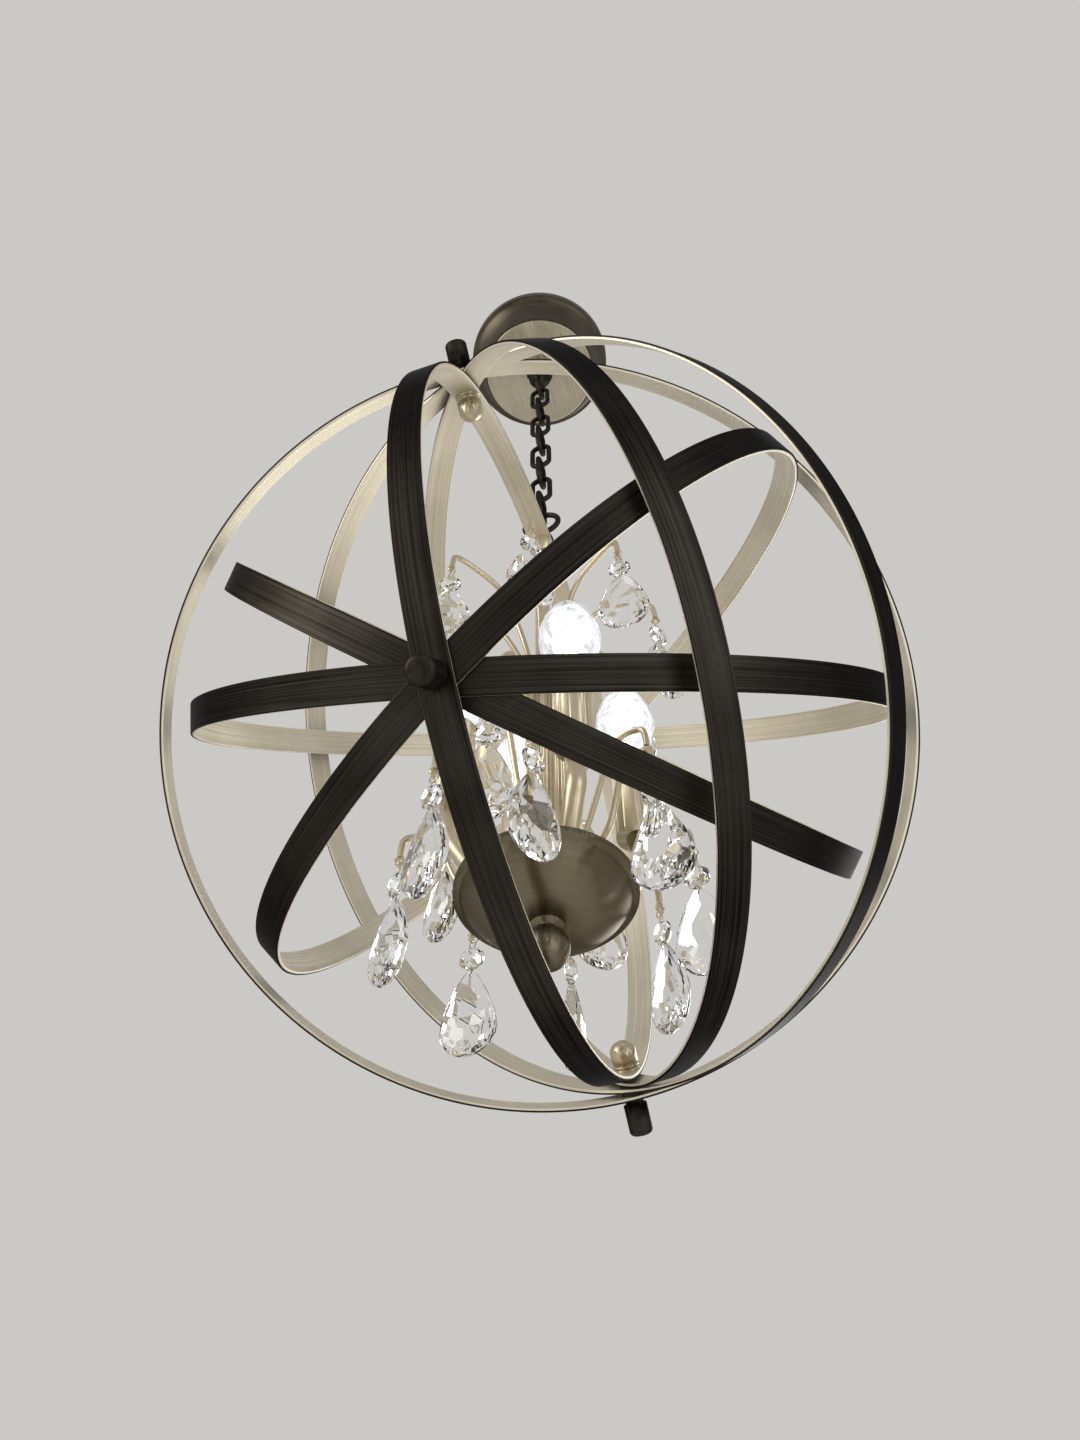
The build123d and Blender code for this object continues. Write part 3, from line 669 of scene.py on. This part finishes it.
def sawStone(name, cut, top):
    outline = cut["outline"]
    midX, midZ = cut["centre"]
    count = len(outline)
    verts = [(x, y, z) for y in (-cut["half"], cut["half"]) for x, z in outline]
    faces = [tuple(range(count)), tuple(range(2 * count - 1, count - 1, -1))]
    faces += [(i, i + count, (i + 1) % count + count, (i + 1) % count) for i in range(count)]
    stone = meshObject(name, verts, [], faces)
    tidyMesh(stone)
    pickOnly(stone)
    bpy.ops.object.mode_set(mode="EDIT")
    for direction, tilt, height in cut["facets"]:
        heading, lean = math.radians(direction), math.radians(tilt)
        out = Vector((math.cos(heading), 0, math.sin(heading)))
        reach = max(out.x * (x - midX) + out.z * (z - midZ) for x, z in outline)
        for side in (-1, 1):
            normal = out * math.sin(lean) + Vector((0, side * math.cos(lean), 0))
            place = Vector((midX, side * height, midZ)) + out * reach
            bpy.ops.mesh.select_all(action="SELECT")
            bpy.ops.mesh.bisect(plane_co=place, plane_no=normal, use_fill=True, clear_outer=True)
    bpy.ops.mesh.select_all(action="SELECT")
    bpy.ops.transform.resize(value=(mm, mm, mm), center_override=(0, 0, 0))
    bpy.ops.transform.translate(value=(0, 0, top * mm))
    bpy.ops.mesh.remove_doubles(threshold=weldWithin["stone"])
    bpy.ops.mesh.dissolve_limited(angle_limit=math.radians(flatWithin))
    bpy.ops.mesh.normals_make_consistent(inside=False)
    bpy.ops.object.mode_set(mode="OBJECT")
    return stone


dropMaster = sawStone("dropMaster", dropCut, string["dropTop"])
beadMaster = sawStone("beadMaster", beadCut, string["beadZ"])


def wireLoop(name, radius, height, middle, turned):
    # an oval loop of round wire
    clearSelection()
    bpy.ops.mesh.primitive_torus_add(
        major_radius=radius * mm, minor_radius=string["wire"], major_segments=string["around"],
        minor_segments=string["across"], rotation=(math.radians(90), 0, math.radians(turned)))
    loop = bpy.context.object
    loop.name = name
    bpy.ops.object.transform_apply(location=True, rotation=True, scale=True)
    loop.scale = (1, 1, height)
    loop.location = (0, 0, middle * mm)
    bpy.ops.object.transform_apply(location=True, rotation=True, scale=True)
    return loop


def makeString(name, hook, azimuth, turn):
    # the top ring faces out from the arm, and all below it is turned about the pin
    angle = math.radians(azimuth)
    outward, up = hook
    place = Vector((outward * math.cos(angle), outward * math.sin(angle), up)) * mm
    hung = Matrix.Translation(orbCentre + place)
    wires = [wireLoop(name + kind, *string[kind]) for kind in ("Ring", "PinTop", "PinLow")]
    stones = [copyPiece(beadMaster, name + "Bead"), copyPiece(dropMaster, name + "Drop")]
    for piece in wires:
        paint(piece, "brightWire")
        smoothByAngle(piece, smoothAngle["wire"])
    for piece in stones:
        paint(piece, "crystal")
    placeMesh(wires[0], hung @ turnAbout(azimuth))
    for piece in wires[1:] + stones:
        placeMesh(piece, hung @ turnAbout(turn))
    return wires + stones


for tier, plan in tiers.items():
    bits = []
    for i, (azimuth, turn) in enumerate(zip(plan["azimuths"], plan["turns"])):
        made = makeString(f"{tier}{i + 1}", plan["hook"], azimuth, turn)
        if tier == "lower":
            piece = joinPieces(made, f"lower_pendant_{i + 1}_string")
            seat(piece, f"lower_pendant_{i + 1}_body", "crystal", f"lower_pendant_{i + 1}")
        else:
            bits += made
    if bits:
        piece = joinPieces(bits, f"{tier}_pendant_strings")
        seat(piece, "orb", "crystal", f"{tier}_pendants")
bpy.data.objects.remove(dropMaster)
bpy.data.objects.remove(beadMaster)
print("crystals done")


# lengths in metres
stageLook = {
    "floorDrop": 1.9,
    "floorSize": 60.0,
    "floorColour": (0.92, 0.90, 0.87),
    "floorRoughness": 0.9,
    "backdrop": (0.60, 0.585, 0.56),
    "ambient": 0.55,
    "ambientColour": (0.93, 0.95, 1.0),
}
clearSelection()
bpy.ops.mesh.primitive_plane_add(size=stageLook["floorSize"],
                                 location=(0, 0, -stageLook["floorDrop"]))
floor = bpy.context.object
floor.name = "floor"
floorMaterial, floorShader = newMaterial("floor")[::2]
floorShader.inputs["Base Color"].default_value = (*stageLook["floorColour"], 1)
floorShader.inputs["Roughness"].default_value = stageLook["floorRoughness"]
floor.data.materials.append(floorMaterial)

# the camera sees the backdrop, also through the stones, and the object is lit by the ambient
world = bpy.data.worlds.new("studio")
scene.world = world
world.use_nodes = True
worldTree = world.node_tree
worldTree.nodes.clear()
link = worldTree.links.new
worldOut = worldTree.nodes.new("ShaderNodeOutputWorld")
ambient = node(worldTree, "ShaderNodeBackground", Strength=stageLook["ambient"],
               Color=(*stageLook["ambientColour"], 1))
backdrop = node(worldTree, "ShaderNodeBackground", Strength=1.0,
                Color=(*stageLook["backdrop"], 1))
path = worldTree.nodes.new("ShaderNodeLightPath")
either = node(worldTree, "ShaderNodeMath", operation="MAXIMUM")
pick = worldTree.nodes.new("ShaderNodeMixShader")
link(path.outputs["Is Camera Ray"], either.inputs[0])
link(path.outputs["Is Transmission Ray"], either.inputs[1])
link(either.outputs["Value"], pick.inputs["Fac"])
link(ambient.outputs["Background"], pick.inputs[1])
link(backdrop.outputs["Background"], pick.inputs[2])
link(pick.outputs["Shader"], worldOut.inputs["Surface"])

softLights = {
    "keyLight": dict(place=(-1.5, -1.6, -0.1), size=1.4, power=26, colour=(1.0, 0.97, 0.93)),
    "fillLight": dict(place=(1.7, -1.1, -0.9), size=1.6, power=12, colour=(0.93, 0.96, 1.0)),
    "backLight": dict(place=(0.5, 1.9, 0.1), size=1.2, power=16, colour=(1.0, 0.98, 0.95)),
}
for name, look in softLights.items():
    data = bpy.data.lights.new(name, "AREA")
    data.size = look["size"]
    data.energy = look["power"]
    data.color = look["colour"]
    light = bpy.data.objects.new(name, data)
    scene.collection.objects.link(light)
    light.location = look["place"]
    light.rotation_mode = "QUATERNION"
    light.rotation_quaternion = (orbCentre - Vector(look["place"])).to_track_quat("-Z", "Y")

camera = {
    "place": Vector((122.4, -381.7, -505.2)) * mm,       # from the orb's centre
    "forward": Vector((-0.19344, 0.59146, 0.78279)),
    "up": Vector((0.25110, -0.74144, 0.62227)),
    "lens": 28.0,
    "sensor": 36.0,
    "near": 0.02,
}
cameraData = bpy.data.cameras.new("camera")
cameraData.lens = camera["lens"]
cameraData.sensor_width = camera["sensor"]
cameraData.sensor_fit = "AUTO"
cameraData.clip_start = camera["near"]
cameraObject = bpy.data.objects.new("camera", cameraData)
scene.collection.objects.link(cameraObject)
back = -camera["forward"].normalized()
side = camera["up"].cross(back).normalized()
above = back.cross(side)
turned = Matrix((side, above, back)).transposed().to_4x4()
cameraObject.matrix_world = Matrix.Translation(orbCentre + camera["place"]) @ turned
scene.camera = cameraObject
print("stage, lights and camera ready")
